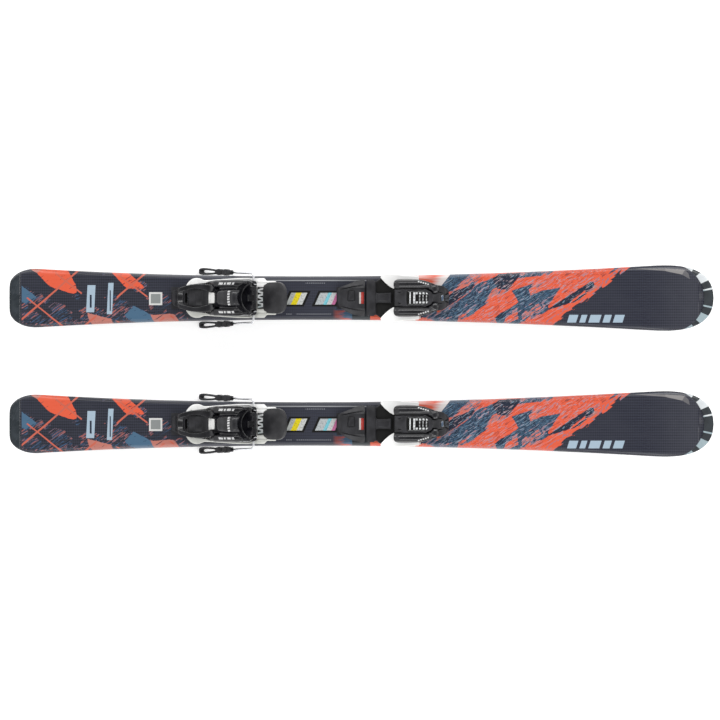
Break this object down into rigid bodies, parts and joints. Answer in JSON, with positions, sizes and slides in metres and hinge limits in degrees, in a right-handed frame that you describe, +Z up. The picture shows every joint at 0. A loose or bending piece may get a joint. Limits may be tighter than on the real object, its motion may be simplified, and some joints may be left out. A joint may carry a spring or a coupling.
{
  "type": "alpine skis with bindings",
  "caption": "Pair of short alpine skis with printed topsheets, turned-up tips, sliding toe and heel bindings, an open heel cup and lowered wire brakes.",
  "frame": {"origin": "centre of the pair in plan, at the height of the lowered brakes' tips, which is the lowest point", "axes": "+X along the skis from the tails to the tips, +Y across the pair towards ski_a, +Z up, away from the running bases"},
  "size_m": [1.09, 0.2964, 0.1286],
  "materials": {
    "wood_core": "satin",
    "topsheet_print": "satin printed film",
    "tip_print": "gloss",
    "base_black": "waxed",
    "edge_steel": "ground",
    "black_plastic": "satin",
    "black_gloss": "gloss",
    "pad_black": "soft matt",
    "white_plastic": "satin",
    "steel": "bright",
    "spring_steel": "bright"
  },
  "bodies": {
    "ski_a": {"ski_a_core": "wood_core", "ski_a_topsheet": "topsheet_print", "ski_a_running_base": "base_black", "ski_a_steel_edge": "edge_steel", "ski_a_tip_protector": "tip_print", "ski_a_tail_protector": "black_gloss", "ski_a_heel_track": "black_plastic", "ski_a_toe_track": "black_plastic"},
    "a_heel": {"ski_a_heel_chassis": "white_plastic", "ski_a_heel_housing": "black_plastic", "ski_a_heel_scale": "white_plastic", "ski_a_heel_pin": "steel", "ski_a_heel_spring": "spring_steel", "ski_a_brake_bracket": "black_plastic"},
    "a_jaw": {"ski_a_heel_jaw": "black_gloss"},
    "a_lever": {"ski_a_heel_lever": "black_plastic"},
    "a_heel_latch": {"ski_a_heel_latch": "black_plastic"},
    "a_heel_screw": {"ski_a_heel_adjusting_screw": "steel"},
    "a_brake": {"ski_a_brake_wire": "spring_steel", "ski_a_brake_pedal": "pad_black", "ski_a_brake_paddle_left": "black_plastic", "ski_a_brake_paddle_right": "black_plastic"},
    "a_toe": {"ski_a_toe_housing": "black_plastic", "ski_a_toe_base": "white_plastic", "ski_a_toe_spring": "spring_steel"},
    "a_wing_left": {"ski_a_toe_wing_left": "black_gloss"},
    "a_wing_right": {"ski_a_toe_wing_right": "black_gloss"},
    "a_afd": {"ski_a_afd_plate": "black_plastic"},
    "a_toe_latch": {"ski_a_toe_latch": "black_plastic"},
    "a_toe_screw": {"ski_a_toe_adjusting_screw": "steel"},
    "ski_b": {"ski_b_core": "wood_core", "ski_b_topsheet": "topsheet_print", "ski_b_running_base": "base_black", "ski_b_steel_edge": "edge_steel", "ski_b_tip_protector": "tip_print", "ski_b_tail_protector": "black_gloss", "ski_b_heel_track": "black_plastic", "ski_b_toe_track": "black_plastic"},
    "b_heel": {"ski_b_heel_chassis": "white_plastic", "ski_b_heel_housing": "black_plastic", "ski_b_heel_scale": "white_plastic", "ski_b_heel_pin": "steel", "ski_b_heel_spring": "spring_steel", "ski_b_brake_bracket": "black_plastic"},
    "b_jaw": {"ski_b_heel_jaw": "black_gloss"},
    "b_lever": {"ski_b_heel_lever": "black_plastic"},
    "b_heel_latch": {"ski_b_heel_latch": "black_plastic"},
    "b_heel_screw": {"ski_b_heel_adjusting_screw": "steel"},
    "b_brake": {"ski_b_brake_wire": "spring_steel", "ski_b_brake_pedal": "pad_black", "ski_b_brake_paddle_left": "black_plastic", "ski_b_brake_paddle_right": "black_plastic"},
    "b_toe": {"ski_b_toe_housing": "black_plastic", "ski_b_toe_base": "white_plastic", "ski_b_toe_spring": "spring_steel"},
    "b_wing_left": {"ski_b_toe_wing_left": "black_gloss"},
    "b_wing_right": {"ski_b_toe_wing_right": "black_gloss"},
    "b_afd": {"ski_b_afd_plate": "black_plastic"},
    "b_toe_latch": {"ski_b_toe_latch": "black_plastic"},
    "b_toe_screw": {"ski_b_toe_adjusting_screw": "steel"}
  },
  "joints": [
    {"name": "a_heel_slide", "type": "slide", "parent": "ski_a", "child": "a_heel", "axis": [1, 0, 0], "range_m": [-0.008, 0.024]},
    {"name": "a_jaw_tilt", "type": "hinge", "parent": "a_heel", "child": "a_jaw", "pos_m": [-0.215, 0.0975, 0.0841], "axis": [0, 1, 0], "range_deg": [0, 25]},
    {"name": "a_lever_tilt", "type": "hinge", "parent": "a_heel", "child": "a_lever", "pos_m": [-0.215, 0.0975, 0.0841], "axis": [0, 1, 0], "range_deg": [0, 30]},
    {"name": "a_heel_latch_lift", "type": "hinge", "parent": "a_heel", "child": "a_heel_latch", "pos_m": [-0.2755, 0.0975, 0.0703], "axis": [0, 1, 0], "range_deg": [0, 22], "stiffness_Nm_per_rad": 0.1, "springref_deg": -17.19},
    {"name": "a_heel_screw_turn", "type": "hinge", "parent": "a_heel", "child": "a_heel_screw", "pos_m": [-0.266, 0.0975, 0.0806], "axis": [1, 0, 0], "range_deg": [-360, 360]},
    {"name": "a_brake_tilt", "type": "hinge", "parent": "a_heel", "child": "a_brake", "pos_m": [-0.1666, 0.0975, 0.0735], "axis": [0, 1, 0], "range_deg": [0, 40], "stiffness_Nm_per_rad": 1.5, "springref_deg": -57.3},
    {"name": "a_toe_slide", "type": "slide", "parent": "ski_a", "child": "a_toe", "axis": [1, 0, 0], "range_m": [-0.012, 0.012]},
    {"name": "a_wing_left_swing", "type": "hinge", "parent": "a_toe", "child": "a_wing_left", "pos_m": [0.114, 0.111, 0.1001], "axis": [0, 0, -1], "range_deg": [0, 22], "stiffness_Nm_per_rad": 2, "springref_deg": -17.19},
    {"name": "a_wing_right_swing", "type": "hinge", "parent": "a_toe", "child": "a_wing_right", "pos_m": [0.114, 0.084, 0.1001], "axis": [0, 0, 1], "range_deg": [0, 22], "stiffness_Nm_per_rad": 2, "springref_deg": -17.19},
    {"name": "a_afd_slide", "type": "slide", "parent": "a_toe", "child": "a_afd", "axis": [0, 1, 0], "range_m": [-0.006, 0.006], "stiffness_N_per_m": 200},
    {"name": "a_toe_latch_lift", "type": "hinge", "parent": "a_toe", "child": "a_toe_latch", "pos_m": [0.0035, 0.0975, 0.0699], "axis": [0, 1, 0], "range_deg": [0, 18], "stiffness_Nm_per_rad": 0.15, "springref_deg": -17.19},
    {"name": "a_toe_screw_turn", "type": "hinge", "parent": "a_toe", "child": "a_toe_screw", "pos_m": [0.131, 0.0975, 0.0851], "axis": [1, 0, 0], "range_deg": [-360, 360]},
    {"name": "ski_b_spacing", "type": "slide", "parent": "ski_a", "child": "ski_b", "axis": [0, -1, 0], "range_m": [-0.06, 0.2]},
    {"name": "b_heel_slide", "type": "slide", "parent": "ski_b", "child": "b_heel", "axis": [1, 0, 0], "range_m": [-0.008, 0.024]},
    {"name": "b_jaw_tilt", "type": "hinge", "parent": "b_heel", "child": "b_jaw", "pos_m": [-0.215, -0.0975, 0.0841], "axis": [0, 1, 0], "range_deg": [0, 25]},
    {"name": "b_lever_tilt", "type": "hinge", "parent": "b_heel", "child": "b_lever", "pos_m": [-0.215, -0.0975, 0.0841], "axis": [0, 1, 0], "range_deg": [0, 30]},
    {"name": "b_heel_latch_lift", "type": "hinge", "parent": "b_heel", "child": "b_heel_latch", "pos_m": [-0.2755, -0.0975, 0.0703], "axis": [0, 1, 0], "range_deg": [0, 22], "stiffness_Nm_per_rad": 0.1, "springref_deg": -17.19},
    {"name": "b_heel_screw_turn", "type": "hinge", "parent": "b_heel", "child": "b_heel_screw", "pos_m": [-0.266, -0.0975, 0.0806], "axis": [1, 0, 0], "range_deg": [-360, 360]},
    {"name": "b_brake_tilt", "type": "hinge", "parent": "b_heel", "child": "b_brake", "pos_m": [-0.1666, -0.0975, 0.0735], "axis": [0, 1, 0], "range_deg": [0, 40], "stiffness_Nm_per_rad": 1.5, "springref_deg": -57.3},
    {"name": "b_toe_slide", "type": "slide", "parent": "ski_b", "child": "b_toe", "axis": [1, 0, 0], "range_m": [-0.012, 0.012]},
    {"name": "b_wing_left_swing", "type": "hinge", "parent": "b_toe", "child": "b_wing_left", "pos_m": [0.114, -0.084, 0.1001], "axis": [0, 0, -1], "range_deg": [0, 22], "stiffness_Nm_per_rad": 2, "springref_deg": -17.19},
    {"name": "b_wing_right_swing", "type": "hinge", "parent": "b_toe", "child": "b_wing_right", "pos_m": [0.114, -0.111, 0.1001], "axis": [0, 0, 1], "range_deg": [0, 22], "stiffness_Nm_per_rad": 2, "springref_deg": -17.19},
    {"name": "b_afd_slide", "type": "slide", "parent": "b_toe", "child": "b_afd", "axis": [0, 1, 0], "range_m": [-0.006, 0.006], "stiffness_N_per_m": 200},
    {"name": "b_toe_latch_lift", "type": "hinge", "parent": "b_toe", "child": "b_toe_latch", "pos_m": [0.0035, -0.0975, 0.0699], "axis": [0, 1, 0], "range_deg": [0, 18], "stiffness_Nm_per_rad": 0.15, "springref_deg": -17.19},
    {"name": "b_toe_screw_turn", "type": "hinge", "parent": "b_toe", "child": "b_toe_screw", "pos_m": [0.131, -0.0975, 0.0851], "axis": [1, 0, 0], "range_deg": [-360, 360]}
  ],
  "couplings": [
    {"joint": "a_lever_tilt", "follows": "a_jaw_tilt", "ratio": 1.2},
    {"joint": "b_lever_tilt", "follows": "b_jaw_tilt", "ratio": 1.2}
  ]
}
